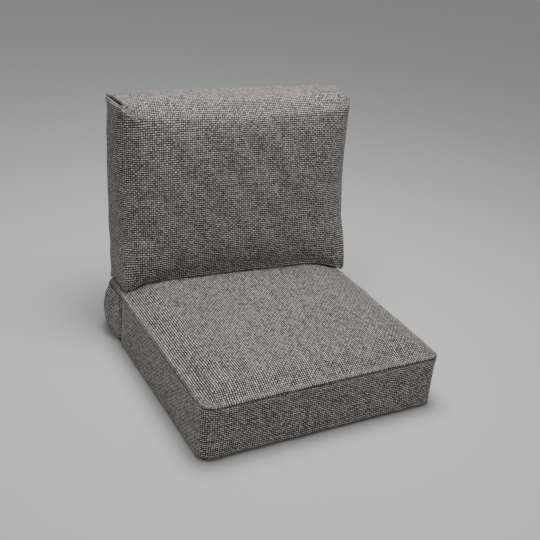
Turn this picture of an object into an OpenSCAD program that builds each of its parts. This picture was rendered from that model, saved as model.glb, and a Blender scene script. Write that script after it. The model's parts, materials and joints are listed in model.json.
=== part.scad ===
// Deep-seating cushion set: a boxed seat cushion with a loose, zipped back cushion standing on it.
// Millimetres. +Z is up and the front faces -Y. The origin is the middle of the seat's flat underside.
// Curved faces stay true cylinders, because every outline is built from squares and circles.

/* [Seat cushion] */
// Width of the seat cushion, side to side
seat_w = 610; // [450:5:760]
// Depth of the seat cushion, front to rear
seat_d = 610; // [450:5:760]
// Height of the seat cushion's boxing, with both panels
seat_h = 146; // [100:1:200]
// Radius of the seat cushion's four upright corners
seat_corner_r = 32; // [20:1:60]
// How far the rear boxing wraps forward round each rear corner
rear_wrap = 105; // [70:1:150]

/* [Back cushion] */
// Width of the back cushion, side to side
back_w = 610; // [450:5:760]
// Height of the back cushion, along its front face
back_h = 457; // [350:1:600]
// Thickness of the back cushion at its rear seam
back_t = 114; // [90:1:150]
// Radius of the back cushion's two upper corners, seen from the front
back_corner_r = 14; // [6:1:40]
// Radius of the back cushion's upper front and upper rear edges
back_edge_r = 26; // [10:1:40]
// How far the back cushion leans back from upright
back_lean = 8; // [4:0.5:14]
// How far the back cushion is turned on the seat, seen from above
back_turn = -4; // [-6:0.5:6]
// How far to the right of the seat's middle the back cushion stands
back_offset = 12; // [-25:1:25]
// How far in front of the seat's rear edge the back cushion's lower front edge stands
back_set = 128; // [110:1:170]
// Height of the back cushion's zip above its lower edge
back_zip_h = 62; // [45:1:120]
// Plain rear panel left between each end of the back cushion's zip and its side
back_zip_margin = 62; // [35:1:120]

/* [Covers and fillings] */
// Thickness of the woven cover fabric
fabric_t = 1.2; // [0.8:0.1:2]
// Thickness of the wadding above and below the foam
wrap_t = 14; // [8:1:20]
// Thickness of the non-woven bag inside the back cushion
inner_cover_t = 0.6; // [0.4:0.1:1]
// Space left between a cover and what fills it
fill_gap = 0.8; // [0.4:0.1:2]

/* [Zips] */
// Plain boxing left between each end of the seat cushion's zip and the rounded corner
seat_zip_margin = 30; // [18:1:60]
// Width of one zip tape outside its coil
tape_w = 12; // [10:0.5:16]
// Thickness of the zip tapes
tape_t = 0.7; // [0.5:0.1:0.9]
// Length of tape left beyond each end of the coils
tape_tail = 12; // [6:1:15]
// Width of one coil
coil_w = 2.9; // [2.5:0.1:4]
// Thickness of the coils
coil_t = 2.4; // [1.8:0.1:3]
// Length of a slider
slider_len = 12; // [10:0.5:16]
// Thickness of a slider's outer and inner plates
plate_t = 1.2; // [0.9:0.1:1.6]
// Thickness of the rails at a slider's edges
rail_t = 0.9; // [0.7:0.1:1.4]
// Width of the bridge that holds a pull
bridge_w = 2; // [1.6:0.1:3]
// Length of the bridge along the slider
bridge_len = 7; // [6:0.5:9]
// Diameter of the bar on which a pull swings
pull_bar_d = 1.6; // [1.2:0.1:2]
// Thickness of a pull
pull_t = 1.4; // [1:0.1:1.6]
// Width of a pull
pull_w = 8; // [7:0.5:10]
// Length of a pull beyond its bar
pull_len = 30; // [22:1:38]
// Length of a stop along the chain
stop_len = 2.4; // [2:0.1:4]
// How far a stop stands proud of the coil that it clamps
stop_wall = 0.7; // [0.5:0.1:1]

/* [Clearances] */
// Space between the two cushions
rest_gap = 0.4; // [0.3:0.1:1]
// Space between a slider and the chain, and round a pull's bar
run_gap = 0.3; // [0.25:0.05:0.4]
// Space between a slider and the folded edges of the fabric beside it
edge_gap = 0.6; // [0.4:0.1:1]

/* [Hidden] */
$fn = 48;

UPPER = 1;
LOWER = -1;
CUT = 1;

fabric_grey = [0.36, 0.34, 0.33];
tape_grey = [0.20, 0.19, 0.19];
coil_black = [0.10, 0.10, 0.10];
metal_grey = [0.30, 0.30, 0.31];
wadding_white = [0.93, 0.93, 0.90];
foam_cream = [0.90, 0.84, 0.66];
lining_white = [0.86, 0.87, 0.88];

// Chain and slider, across the zip
chain_gap = 4 * run_gap;
chain_half = chain_gap / 2 + coil_w;
slider_w = 2 * (chain_half + run_gap + rail_t);
zip_slot = slider_w + 2 * edge_gap;
blade_w = chain_gap - 2 * run_gap;
blade_len = slider_len / 2;
// Chain and slider, through the fabric: 0 is the fabric's outer face, and + is outward
tape_mid = -fabric_t - tape_t / 2;
channel_half = coil_t / 2 + run_gap;
slider_top = tape_mid + channel_half + plate_t;
slider_bottom = tape_mid - channel_half - plate_t;
bar_y = slider_top + run_gap + pull_bar_d / 2 + run_gap;
bridge_h = bar_y - slider_top + pull_bar_d / 2 + run_gap + plate_t;
bridge_r = 1.5;
plate_r = 2;
pull_r = 2.5;
arm_w = (pull_w - bridge_w) / 2 - run_gap;
arm_len = bridge_len / 2 + 2 * run_gap;
pull_hole_len = 7;
pull_hole_w = 3;

// Places
seat_zip_z = seat_h / 2;
seat_zip_len = seat_w - 2 * (seat_corner_r + seat_zip_margin);
back_zip_len = back_w - 2 * back_zip_margin;
rear_gap = fill_gap - slider_bottom - fabric_t;
wrap_low = fabric_t + fill_gap;
foam_low = wrap_low + wrap_t;
foam_h = seat_h - 2 * foam_low;

// ---------------------------------------------------------------- outlines

// Rectangle with true round corners, centred on the origin
module rounded_rect(w, d, r) {
    square([w - 2 * r, d], center = true);
    square([w, d - 2 * r], center = true);
    for (x = [-1, 1], y = [-1, 1]) {
        translate([x * (w / 2 - r), y * (d / 2 - r)]) circle(r);
    }
}

// Rectangle with only its two upper corners round, standing on the X axis
module round_topped(w, h, r) {
    translate([-w / 2, 0]) square([w, h - r]);
    translate([-w / 2 + r, 0]) square([w - 2 * r, h]);
    for (x = [-1, 1]) {
        translate([x * (w / 2 - r), h - r]) circle(r);
    }
}

// Plan of the seat cushion, drawn in by inset all round
module seat_plan(inset) {
    rounded_rect(seat_w - 2 * inset, seat_d - 2 * inset, seat_corner_r - inset);
}

// Slab of the seat's plan between two heights
module seat_slab(z, h, inset) {
    translate([0, 0, z]) linear_extrude(h) seat_plan(inset);
}

// ---------------------------------------------------------------- seat cushion

module seat_top_panel() {
    color(fabric_grey) seat_slab(seat_h - fabric_t, fabric_t, 0);
}

module seat_bottom_panel() {
    color(fabric_grey) seat_slab(0, fabric_t, 0);
}

// The whole boxing, one fabric thick, between the two panels
module boxing_ring() {
    difference() {
        seat_slab(fabric_t, seat_h - 2 * fabric_t, 0);
        seat_slab(0, seat_h, fabric_t);
    }
}

// The space behind the joins, which the rear boxing takes
module rear_zone(z, h) {
    translate([-seat_w, seat_d / 2 - rear_wrap, z]) cube([2 * seat_w, seat_d, h]);
}

module seat_front_boxing() {
    color(fabric_grey) difference() {
        boxing_ring();
        rear_zone(-CUT, seat_h + 2 * CUT);
    }
}

// Half of the rear boxing: cut away along the zip, and meeting its other half beyond the zip's ends
module rear_boxing(low, high) {
    color(fabric_grey) difference() {
        intersection() {
            boxing_ring();
            rear_zone(low, high - low);
        }
        translate([-seat_zip_len / 2, 0, seat_zip_z - zip_slot / 2]) cube([seat_zip_len, seat_d, zip_slot]);
    }
}

module seat_rear_boxing_upper() {
    rear_boxing(seat_zip_z, seat_h);
}

module seat_rear_boxing_lower() {
    rear_boxing(0, seat_zip_z);
}

// Filling in the seat's plan, held off the rear boxing so that the slider's inner plate runs free
module seat_filling(z, h) {
    inset = fabric_t + fill_gap;
    intersection() {
        seat_slab(z, h, inset);
        translate([-seat_w, -seat_d, z]) cube([2 * seat_w, 1.5 * seat_d - fabric_t - rear_gap, h]);
    }
}

module seat_wrap_upper() {
    color(wadding_white) seat_filling(foam_low + foam_h, wrap_t);
}

module seat_wrap_lower() {
    color(wadding_white) seat_filling(wrap_low, wrap_t);
}

module seat_foam_core() {
    color(foam_cream) seat_filling(foam_low, foam_h);
}

// ---------------------------------------------------------------- zip, in its own frame
// X runs along the chain from its bottom stop to its top stops, Y points out of the fabric, and Z crosses it.

module other_side(side) {
    mirror([0, 0, side == UPPER ? 0 : 1]) children();
}

module zip_tape(len, side) {
    color(tape_grey) other_side(side) translate([-len / 2 - tape_tail, tape_mid - tape_t / 2, chain_half]) {
        cube([len + 2 * tape_tail, tape_t, tape_w]);
    }
}

module zip_coil(len, side) {
    color(coil_black) other_side(side) translate([-len / 2, tape_mid - coil_t / 2, chain_gap / 2]) {
        cube([len, coil_t, coil_w]);
    }
}

// Clip clamped round the coils from z = from to z = to, with its inner end at x
module zip_clip(x, from, to) {
    height = coil_t + 2 * stop_wall;
    difference() {
        translate([x, tape_mid - height / 2, from]) cube([stop_len, height, to - from]);
        for (side = [UPPER, LOWER]) {
            other_side(side) translate([x - CUT, tape_mid - coil_t / 2, chain_gap / 2]) {
                cube([stop_len + 2 * CUT, coil_t, coil_w]);
            }
            other_side(side) translate([x - CUT, tape_mid - tape_t / 2, chain_half]) {
                cube([stop_len + 2 * CUT, tape_t, tape_w]);
            }
        }
    }
}

module zip_top_stops(len) {
    color(metal_grey) for (side = [UPPER, LOWER]) {
        other_side(side) zip_clip(len / 2 - stop_len, run_gap / 2, chain_half + stop_wall);
    }
}

module zip_bottom_stop(len) {
    reach = chain_half + stop_wall;
    color(metal_grey) zip_clip(-len / 2, -reach, reach);
}

// Middle of the slider when the zip is closed
function slider_home(len) = len / 2 - stop_len - edge_gap - slider_len / 2;

// One plate of the slider with its two rails, above the chain
module slider_plate() {
    translate([0, channel_half + plate_t, 0]) rotate([90, 0, 0]) {
        linear_extrude(plate_t) rounded_rect(slider_len, slider_w, plate_r);
    }
    rail_low = tape_t / 2 + run_gap;
    for (side = [-1, 1]) {
        translate([plate_r - slider_len / 2, rail_low, side * (slider_w - rail_t) / 2 - rail_t / 2]) {
            cube([slider_len - 2 * plate_r, channel_half + CUT / 2 - rail_low, rail_t]);
        }
    }
}

// Arched bridge with a true bore across it for the pull's bar
module slider_bridge() {
    translate([0, slider_top, -bridge_w / 2]) linear_extrude(bridge_w) difference() {
        union() {
            translate([-bridge_len / 2, -CUT / 2]) square([bridge_len, bridge_h - bridge_r + CUT / 2]);
            translate([-bridge_len / 2 + bridge_r, 0]) square([bridge_len - 2 * bridge_r, bridge_h]);
            for (x = [-1, 1]) {
                translate([x * (bridge_len / 2 - bridge_r), bridge_h - bridge_r]) circle(bridge_r);
            }
        }
        translate([0, bar_y - slider_top]) circle(pull_bar_d / 2 + run_gap);
    }
}

// Outer and inner plates joined by a thin blade that runs between the coils
module zip_slider(len) {
    color(metal_grey) translate([slider_home(len), 0, 0]) {
        translate([0, tape_mid, 0]) {
            slider_plate();
            mirror([0, 1, 0]) slider_plate();
            translate([slider_len / 2 - plate_r - blade_len, -channel_half - CUT / 2, -blade_w / 2]) {
                cube([blade_len, 2 * channel_half + CUT, blade_w]);
            }
        }
        slider_bridge();
    }
}

// Bar through the bridge, an arm on each side of it, and a tab with a hole
module zip_pull(len) {
    color(metal_grey) translate([slider_home(len), bar_y, 0]) {
        cylinder(h = pull_w, d = pull_bar_d, center = true);
        rotate([90, 0, 0]) translate([0, 0, -pull_t / 2]) linear_extrude(pull_t) difference() {
            union() {
                for (side = [-1, 1]) {
                    translate([0, side * (pull_w - arm_w) / 2 - arm_w / 2]) square([arm_len + pull_r, arm_w]);
                }
                translate([(arm_len + pull_len) / 2, 0]) rounded_rect(pull_len - arm_len, pull_w, pull_r);
            }
            translate([pull_len - pull_r - pull_hole_len / 2, 0]) {
                rounded_rect(pull_hole_len, pull_hole_w, pull_hole_w / 2 - 0.1);
            }
        }
    }
}

// ---------------------------------------------------------------- seat zip

module at_seat_zip() {
    translate([0, seat_d / 2, seat_zip_z]) children();
}

module seat_zip_tape_upper() {
    at_seat_zip() zip_tape(seat_zip_len, UPPER);
}

module seat_zip_tape_lower() {
    at_seat_zip() zip_tape(seat_zip_len, LOWER);
}

module seat_zip_coil_upper() {
    at_seat_zip() zip_coil(seat_zip_len, UPPER);
}

module seat_zip_coil_lower() {
    at_seat_zip() zip_coil(seat_zip_len, LOWER);
}

module seat_zip_top_stops() {
    at_seat_zip() zip_top_stops(seat_zip_len);
}

module seat_zip_bottom_stop() {
    at_seat_zip() zip_bottom_stop(seat_zip_len);
}

module seat_zip_slider() {
    at_seat_zip() zip_slider(seat_zip_len);
}

module seat_zip_pull() {
    at_seat_zip() zip_pull(seat_zip_len);
}

// ---------------------------------------------------------------- back cushion
// Its frame has its origin at the middle of the lower front edge, Y through the cushion and Z up its front face.

module on_seat() {
    translate([back_offset, seat_d / 2 - back_set, seat_h]) rotate([0, 0, back_turn]) children();
}

module lean() {
    rotate([-back_lean, 0, 0]) children();
}

// Leaning slab, drawn in by inset on every side and by rear at its rear face, and cut level where it stands
module back_shape(inset, rear) {
    drop = back_t;
    depth = back_t - inset - rear;
    tall = back_h + drop - inset;
    on_seat() difference() {
        lean() translate([0, 0, -drop]) intersection() {
            translate([0, inset + depth, 0]) rotate([90, 0, 0]) {
                linear_extrude(depth) round_topped(back_w - 2 * inset, tall, back_corner_r - inset);
            }
            translate([-back_w, inset + depth / 2, 0]) rotate([90, 0, 90]) {
                linear_extrude(2 * back_w) round_topped(depth, tall, back_edge_r - inset);
            }
        }
        translate([-back_w, -back_t, inset + rest_gap - 4 * back_t]) cube([2 * back_w, 4 * back_t, 4 * back_t]);
    }
}

// Everything behind the front panel's rim, between two heights above the lower edge
module rear_face_zone(low, high) {
    on_seat() lean() translate([-back_w, back_t - fabric_t, low]) cube([2 * back_w, back_t, high - low]);
}

// Tray that covers the front and turns back over the top, the sides and the underside
module back_front_panel() {
    color(fabric_grey) difference() {
        back_shape(0, 0);
        back_shape(fabric_t, fabric_t);
        intersection() {
            back_shape(fabric_t, 0);
            rear_face_zone(-back_t, back_h);
        }
    }
}

// Part of the rear face, inside the tray's rim, with the zip's slot cut away
module rear_face(low, high) {
    color(fabric_grey) difference() {
        intersection() {
            back_shape(fabric_t, 0);
            rear_face_zone(low, high);
        }
        at_back_zip() translate([-back_zip_len / 2, -back_t / 2, -zip_slot / 2]) {
            cube([back_zip_len, back_t, zip_slot]);
        }
    }
}

module back_rear_panel() {
    rear_face(back_zip_h, back_h);
}

module back_rear_strip() {
    rear_face(-back_t, back_zip_h);
}

cover_inset = fabric_t + fill_gap;
cover_rear = fabric_t + rear_gap;

module back_inner_cover() {
    color(lining_white) difference() {
        back_shape(cover_inset, cover_rear);
        back_shape(cover_inset + inner_cover_t, cover_rear + inner_cover_t);
    }
}

module back_fibre_fill() {
    inset = inner_cover_t + fill_gap / 4;
    color(wadding_white) back_shape(cover_inset + inset, cover_rear + inset);
}

// ---------------------------------------------------------------- back zip

module at_back_zip() {
    on_seat() lean() translate([0, back_t, back_zip_h]) children();
}

module back_zip_tape_upper() {
    at_back_zip() zip_tape(back_zip_len, UPPER);
}

module back_zip_tape_lower() {
    at_back_zip() zip_tape(back_zip_len, LOWER);
}

module back_zip_coil_upper() {
    at_back_zip() zip_coil(back_zip_len, UPPER);
}

module back_zip_coil_lower() {
    at_back_zip() zip_coil(back_zip_len, LOWER);
}

module back_zip_top_stops() {
    at_back_zip() zip_top_stops(back_zip_len);
}

module back_zip_bottom_stop() {
    at_back_zip() zip_bottom_stop(back_zip_len);
}

module back_zip_slider() {
    at_back_zip() zip_slider(back_zip_len);
}

module back_zip_pull() {
    at_back_zip() zip_pull(back_zip_len);
}

seat_top_panel();
seat_bottom_panel();
seat_front_boxing();
seat_rear_boxing_upper();
seat_rear_boxing_lower();
seat_zip_tape_upper();
seat_zip_tape_lower();
seat_zip_coil_upper();
seat_zip_coil_lower();
seat_zip_top_stops();
seat_zip_bottom_stop();
seat_zip_slider();
seat_zip_pull();
seat_wrap_upper();
seat_wrap_lower();
seat_foam_core();
back_front_panel();
back_rear_panel();
back_rear_strip();
back_zip_tape_upper();
back_zip_tape_lower();
back_zip_coil_upper();
back_zip_coil_lower();
back_zip_top_stops();
back_zip_bottom_stop();
back_zip_slider();
back_zip_pull();
back_inner_cover();
back_fibre_fill();
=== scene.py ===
# %% [markdown]
# # A deep-seating cushion set
# The object is a boxed seat cushion with a loose back cushion standing on it, both in a tweedy outdoor
# weave. The design's sizes, joints and hidden parts come packed as a frame, and this lesson builds what is
# seen on top of it. Blender works in metres, and every place below is read from the frame.

# %% Load the frame
import json
import math

import bpy
import numpy as np
from mathutils import Matrix, Vector


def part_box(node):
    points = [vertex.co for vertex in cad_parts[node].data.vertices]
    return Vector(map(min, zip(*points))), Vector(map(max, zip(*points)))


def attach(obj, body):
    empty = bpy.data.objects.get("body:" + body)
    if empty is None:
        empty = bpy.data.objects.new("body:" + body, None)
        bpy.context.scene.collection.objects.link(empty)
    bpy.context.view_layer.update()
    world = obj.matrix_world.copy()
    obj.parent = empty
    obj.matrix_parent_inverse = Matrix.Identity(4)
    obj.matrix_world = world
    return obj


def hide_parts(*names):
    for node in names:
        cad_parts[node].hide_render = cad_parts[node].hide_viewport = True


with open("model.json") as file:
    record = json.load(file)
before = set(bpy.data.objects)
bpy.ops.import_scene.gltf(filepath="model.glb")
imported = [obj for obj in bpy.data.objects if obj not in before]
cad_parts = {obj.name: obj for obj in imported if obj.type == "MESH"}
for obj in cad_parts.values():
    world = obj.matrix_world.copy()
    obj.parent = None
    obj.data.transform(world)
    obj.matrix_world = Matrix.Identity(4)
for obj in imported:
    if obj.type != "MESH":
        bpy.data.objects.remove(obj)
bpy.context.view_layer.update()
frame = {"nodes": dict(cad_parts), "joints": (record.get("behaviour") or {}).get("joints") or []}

# %% [markdown]
# ## Measures taken from the frame
# The seat cushion is square to the frame, so its sizes are plain differences of its panels' boxes. The back
# cushion leans and is turned a little, so it needs its own axes. The zip in its rear face gives them: the
# slider travels along the cushion's width, and the pull swings about a line that runs up the cushion.

# %% Sizes and axes of the two cushions
MM = 0.001
joints = {joint["name"]: joint for joint in frame["joints"]}
seat_low, seat_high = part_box("seat_bottom_panel")
seat_w, seat_d, _ = seat_high - seat_low
seat_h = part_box("seat_top_panel")[1].z
rear_wrap = seat_high.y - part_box("seat_rear_boxing_upper")[0].y

back_x = -Vector(joints["back_zip_travel"]["axis"])
back_z = Vector(joints["back_pull_swing"]["axis"])
back_y = back_z.cross(back_x)
back_axes = np.array([back_x, back_y, back_z])


def extent(node, axes):
    """Lowest and highest reach of a node along three axes."""
    points = np.array([v.co for v in frame["nodes"][node].data.vertices]) @ axes.T
    return points.min(0), points.max(0)


back_low, back_high = extent("back_front_panel", back_axes)
back_w, back_t, back_h = back_high - back_low
print("seat", np.round((seat_w, seat_d, seat_h), 4), "back", np.round((back_w, back_t, back_h), 4))

# %% [markdown]
# ## The camera
# A long lens looks down at the front left corner. The camera is tipped a few degrees round its own line of
# sight, and its place is given in seat widths, so it keeps its view of a larger or smaller cushion.

# %% Camera
EYE = Vector((-1.578, -2.664, 2.019))
AZIMUTH, ELEVATION, ROLL = (math.radians(a) for a in (-30.5, 27.3, -5.9))
SENSOR = 36.0
LENS = 60.0


def aim(eye, azimuth, elevation, roll):
    """Camera matrix from its place and three angles."""
    back = Vector((math.sin(azimuth) * math.cos(elevation), -math.cos(azimuth) * math.cos(elevation),
                   math.sin(elevation)))
    right = Vector((math.cos(azimuth), math.sin(azimuth), 0))
    up = back.cross(right)
    tipped = right * math.cos(roll) - up * math.sin(roll)
    upright = right * math.sin(roll) + up * math.cos(roll)
    turn = Matrix((tipped, upright, back)).transposed().to_4x4()
    return Matrix.Translation(eye) @ turn


camera = bpy.data.objects.new("camera", bpy.data.cameras.new("camera"))
bpy.context.collection.objects.link(camera)
camera.data.lens = LENS
camera.data.sensor_width = SENSOR
camera.matrix_world = aim(EYE * seat_w, AZIMUTH, ELEVATION, ROLL)
bpy.context.scene.camera = camera
print("camera stands", round(camera.location.length, 2), "m from the seat's base")

# %% [markdown]
# ## Materials
# Every finish is made from nodes. This small helper keeps the node code short: it adds a node, sets or
# links its inputs by name, and hands back the output. Anything that is the same all over a surface is set
# on the shader's own socket.


# %% A helper that writes node trees
class Finish:
    """One material, with a principled shader and short ways to add nodes to it."""

    def __init__(self, name, **values):
        self.material = bpy.data.materials.new(name)
        self.material.use_nodes = True
        self.tree = self.material.node_tree
        self.tree.nodes.clear()
        self.shader = self.tree.nodes.new("ShaderNodeBsdfPrincipled")
        target = self.tree.nodes.new("ShaderNodeOutputMaterial")
        self.tree.links.new(self.shader.outputs[0], target.inputs["Surface"])
        for key, value in values.items():
            self.shader.inputs[key.replace("_", " ")].default_value = value

    def add(self, kind, inputs=(), output=0, **settings):
        node = self.tree.nodes.new("ShaderNode" + kind)
        for key, value in settings.items():
            setattr(node, key, value)
        for socket, value in dict(inputs).items():
            self.join(node.inputs[socket], value)
        return node.outputs[output]

    def join(self, socket, value):
        if isinstance(value, bpy.types.NodeSocket):
            self.tree.links.new(value, socket)
        elif socket.type == "VECTOR":
            socket.default_value = value[:3]
        else:
            socket.default_value = value

    def math(self, operation, *values):
        return self.add("Math", dict(enumerate(values)), operation=operation)

    def step(self, value, low, high):
        """Value eased from 0 at low to 1 at high."""
        sockets = {0: value, 1: low, 2: high, 3: 0.0, 4: 1.0}
        return self.add("MapRange", sockets, interpolation_type="SMOOTHSTEP")

    def blend(self, share, first, second):
        """Colour between first and second."""
        sockets = {0: share, 6: first, 7: second}
        return self.add("Mix", sockets, output=2, data_type="RGBA")

    def multiply(self, colour, value):
        """Colour made lighter or darker by a number."""
        return self.add("VectorMath", {0: colour, 3: value}, operation="SCALE")

    def noise(self, vector, scale, detail=2.0, **settings):
        return self.add("TexNoise", {"Vector": vector, "Scale": scale, "Detail": detail}, **settings)

    def chance(self, vector):
        """A number from 0 to 1 that is fixed for each whole-number vector."""
        return self.add("TexWhiteNoise", {"Vector": vector}, noise_dimensions="3D")

    def pack(self, x, y, z=0.0):
        return self.add("CombineXYZ", {0: x, 1: y, 2: z})

    def bump(self, height, distance, strength):
        sockets = {"Height": height, "Distance": distance, "Strength": strength}
        self.join(self.shader.inputs["Normal"], self.add("Bump", sockets))

    def colour(self, value):
        self.join(self.shader.inputs["Base Color"], value)

    def roughness(self, value):
        self.join(self.shader.inputs["Roughness"], value)


# %% [markdown]
# ## The woven cover cloth
# The real cloth is a coarse hopsack: bundles of light, twisted yarns run one way, dark bundles run the
# other, and each light bundle shows as a short pale dash. The pattern could come from a UV map, but a
# cushion's skin has seams where the cloth is cut, so each panel carries its own flat cutting coordinates in
# an attribute called "cloth", in metres. Two more attributes say where seams rub pale and how much shade
# is painted into the colour in seams, darts, folds and slots. Each bundle gets its own tone by chance,
# which is what makes a tweed.

# %% Woven cloth
YARN_LIGHT = (0.70, 0.645, 0.59, 1)
YARN_ROSE = (0.56, 0.49, 0.45, 1)
YARN_COOL = (0.47, 0.46, 0.45, 1)
YARN_DARK = (0.030, 0.029, 0.029, 1)
YARN_CHARCOAL = (0.065, 0.061, 0.06, 1)
PITCH_ALONG = 5.3 * MM
PITCH_ACROSS = 5.1 * MM
YARNS_IN_BUNDLE = 4
WEAVE_RELIEF = 0.7 * MM
YARN_DRIFT = 3.2 * MM
RUB_SHARE = 0.12
CREASE_SHADE = 0.88


def woven_cloth(name):
    f = Finish(name, Roughness=0.9, Sheen_Weight=0.12, Sheen_Roughness=0.5, Specular_IOR_Level=0.2)
    cloth = f.add("Attribute", attribute_name="cloth", output=1)
    drift = f.noise(cloth, 26.0)
    parts = f.tree.nodes.new("ShaderNodeSeparateXYZ")
    f.join(parts.inputs[0], cloth)
    shift = f.math("MULTIPLY_ADD", drift, YARN_DRIFT, -YARN_DRIFT / 2)
    across = f.math("DIVIDE", f.math("ADD", parts.outputs[0], shift), PITCH_ALONG)
    up = f.math("DIVIDE", f.math("SUBTRACT", parts.outputs[1], shift), PITCH_ACROSS)
    column, row = f.math("FLOOR", across), f.math("FLOOR", up)
    panel = parts.outputs[2]
    # Rounded rise of each bundle: 0 between bundles and 1 on its crown
    crown = {}
    for key, place in (("row", up), ("column", across)):
        wave = f.math("COSINE", f.math("MULTIPLY", place, 2 * math.pi))
        crown[key] = f.math("MULTIPLY_ADD", wave, -0.5, 0.5)
    full = f.math("POWER", crown["row"], 0.8)
    dash = f.math("MULTIPLY", full, f.math("MULTIPLY_ADD", f.math("POWER", crown["column"], 0.6), 0.66, 0.34))
    over = f.math("ABSOLUTE", f.math("MODULO", f.math("ADD", column, row), 2.0))
    dash = f.math("MULTIPLY", dash, f.math("MULTIPLY_ADD", over, 0.24, 0.76))
    by_cell = f.chance(f.pack(column, row, panel))
    by_row = f.chance(f.pack(row, panel, 7.0))
    by_column = f.chance(f.pack(column, panel, 3.0))
    slub = f.noise(cloth, 140.0, detail=1.0)
    fullness = f.math("MULTIPLY_ADD", slub, 0.24, f.math("MULTIPLY_ADD", by_cell, 0.22, -0.20))
    pale = f.step(f.math("ADD", fullness, dash), 0.22, 0.66)
    # Twisted yarns inside each bundle
    twist = f.math("SINE", f.math("MULTIPLY", f.math("MULTIPLY_ADD", across, 0.35, up),
                                  2 * math.pi * YARNS_IN_BUNDLE))
    grain = f.noise(cloth, 2400.0, detail=1.0)
    light = f.blend(f.step(by_cell, 0.45, 0.75), YARN_LIGHT, YARN_ROSE)
    light = f.blend(f.step(by_row, 0.5, 0.95), light, YARN_COOL)
    cord = f.math("SINE", f.math("MULTIPLY", f.math("MULTIPLY_ADD", up, 0.35, across),
                                 2 * math.pi * YARNS_IN_BUNDLE))
    # Painted highlight and shade: each dark bundle is lighter on its crown and darker between bundles, with
    # stripes of its twisted yarns.
    ground_crown_highlight = f.math("MULTIPLY_ADD", cord, 0.3, f.math("MULTIPLY_ADD", crown["column"], 0.7, 0.5))
    dark = f.multiply(f.blend(by_column, YARN_DARK, YARN_CHARCOAL), ground_crown_highlight)
    shade = f.math("MULTIPLY_ADD", by_cell, 0.66, 0.58)
    shade = f.math("MULTIPLY", shade, f.math("MULTIPLY_ADD", slub, 0.5, 0.75))
    shade = f.math("MULTIPLY", shade, f.math("MULTIPLY_ADD", over, 0.22, 0.86))
    shade = f.math("MULTIPLY", shade, f.math("MULTIPLY_ADD", by_row, 0.24, 0.88))
    shade = f.math("MULTIPLY", shade, f.math("MULTIPLY_ADD", twist, 0.09, 1.0))
    shade = f.math("MULTIPLY", shade, f.math("MULTIPLY_ADD", grain, 0.3, 0.85))
    patch = f.noise(cloth, 7.0, detail=3.0)
    shade = f.math("MULTIPLY", shade, f.math("MULTIPLY_ADD", patch, 0.24, 0.88))
    yarn = f.blend(pale, dark, f.multiply(light, shade))
    rub = f.add("Attribute", attribute_name="rub", output=2)
    crease = f.add("Attribute", attribute_name="crease", output=2)
    yarn = f.blend(f.math("MULTIPLY", rub, RUB_SHARE), yarn, YARN_LIGHT)
    # Painted shade: the cloth's colour is darkened in seams, darts, folds and the zips' slots, where shade
    # falls.
    f.colour(f.multiply(yarn, f.math("MULTIPLY_ADD", crease, -CREASE_SHADE, 1.0)))
    low = f.math("MULTIPLY", f.math("MULTIPLY_ADD", cord, 0.12, crown["column"]), 0.35)
    height = f.math("MAXIMUM", f.math("MULTIPLY_ADD", twist, 0.08, pale), low)
    height = f.math("MULTIPLY_ADD", grain, 0.15, height)
    f.roughness(f.math("MULTIPLY_ADD", pale, -0.08, 0.94))
    f.bump(height, WEAVE_RELIEF, 0.55)
    return f.material


cover_cloth = woven_cloth("outdoor_hopsack")
print("cover cloth has", len(cover_cloth.node_tree.nodes), "nodes")

# %% [markdown]
# ## A skin cut from a lattice box
# A cushion cover is a few flat panels sewn into a box and then stuffed. A box skinned with a lattice of
# straight cuts keeps that order: every point knows which panel it is on and how far it is from each seam.
# The lattice is coarse for the stuffing and much finer for the finished skin, with extra cuts close to the
# seams, where the cloth turns in sharply.

# %% Lattice box
SIDES = {
    "front": (1, 0, 0, 2), "rear": (1, 1, 2, 0), "left": (0, 0, 2, 1),
    "right": (0, 1, 1, 2), "bottom": (2, 0, 1, 0), "top": (2, 1, 0, 1),
}


class Lattice:
    """Skin of a box cut along three lists of lines, in metres from the box's low corner."""

    def __init__(self, *lines):
        self.lines = [np.asarray(x) for x in lines]
        last = [len(x) - 1 for x in self.lines]
        self.grid, keys, quads, start = {}, [], [], 0
        for side, (fixed, end, a, b) in SIDES.items():
            key = np.zeros((last[a] + 1, last[b] + 1, 3), int)
            key[..., a], key[..., b] = np.indices(key.shape[:2])
            key[..., fixed] = end * last[fixed]
            ids = start + np.arange(key[..., 0].size).reshape(key.shape[:2])
            corners = [ids[:-1, :-1], ids[1:, :-1], ids[1:, 1:], ids[:-1, 1:]]
            self.grid[side] = ids
            quads.append(np.stack(corners, -1).reshape(-1, 4))
            keys.append(key.reshape(-1, 3))
            start += ids.size
        unique, same = np.unique(np.concatenate(keys), axis=0, return_inverse=True)
        same = same.reshape(-1)
        self.quads = same[np.concatenate(quads)]
        self.side_of = np.repeat(list(SIDES), [len(q) for q in quads])
        self.grid = {side: same[ids] for side, ids in self.grid.items()}
        self.at = np.stack([self.lines[i][unique[:, i]] for i in range(3)], 1)


def even(length, step):
    return np.linspace(0, length, max(int(round(length / step)), 2) + 1)


def cuts(length, step, seams, offsets):
    """Even cuts, with close ones at set distances on both sides of each seam."""
    close = np.concatenate([[s + o, s - o] for s in seams for o in offsets])
    close = np.unique(np.round(close[(close > -1e-9) & (close < length + 1e-9)], 6))
    plain = even(length, step)
    apart = np.abs(plain[:, None] - close[None]).min(1) > 0.45 * step
    return np.unique(np.concatenate([plain[apart], close]))


def outward(points, quads):
    """Unit normal at each point of a skin of quads."""
    p = points[quads]
    face = np.cross(p[:, 2] - p[:, 0], p[:, 3] - p[:, 1])
    total = np.zeros_like(points)
    for corner in range(4):
        np.add.at(total, quads[:, corner], face)
    return total / np.maximum(np.linalg.norm(total, axis=1, keepdims=True), 1e-12)


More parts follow.
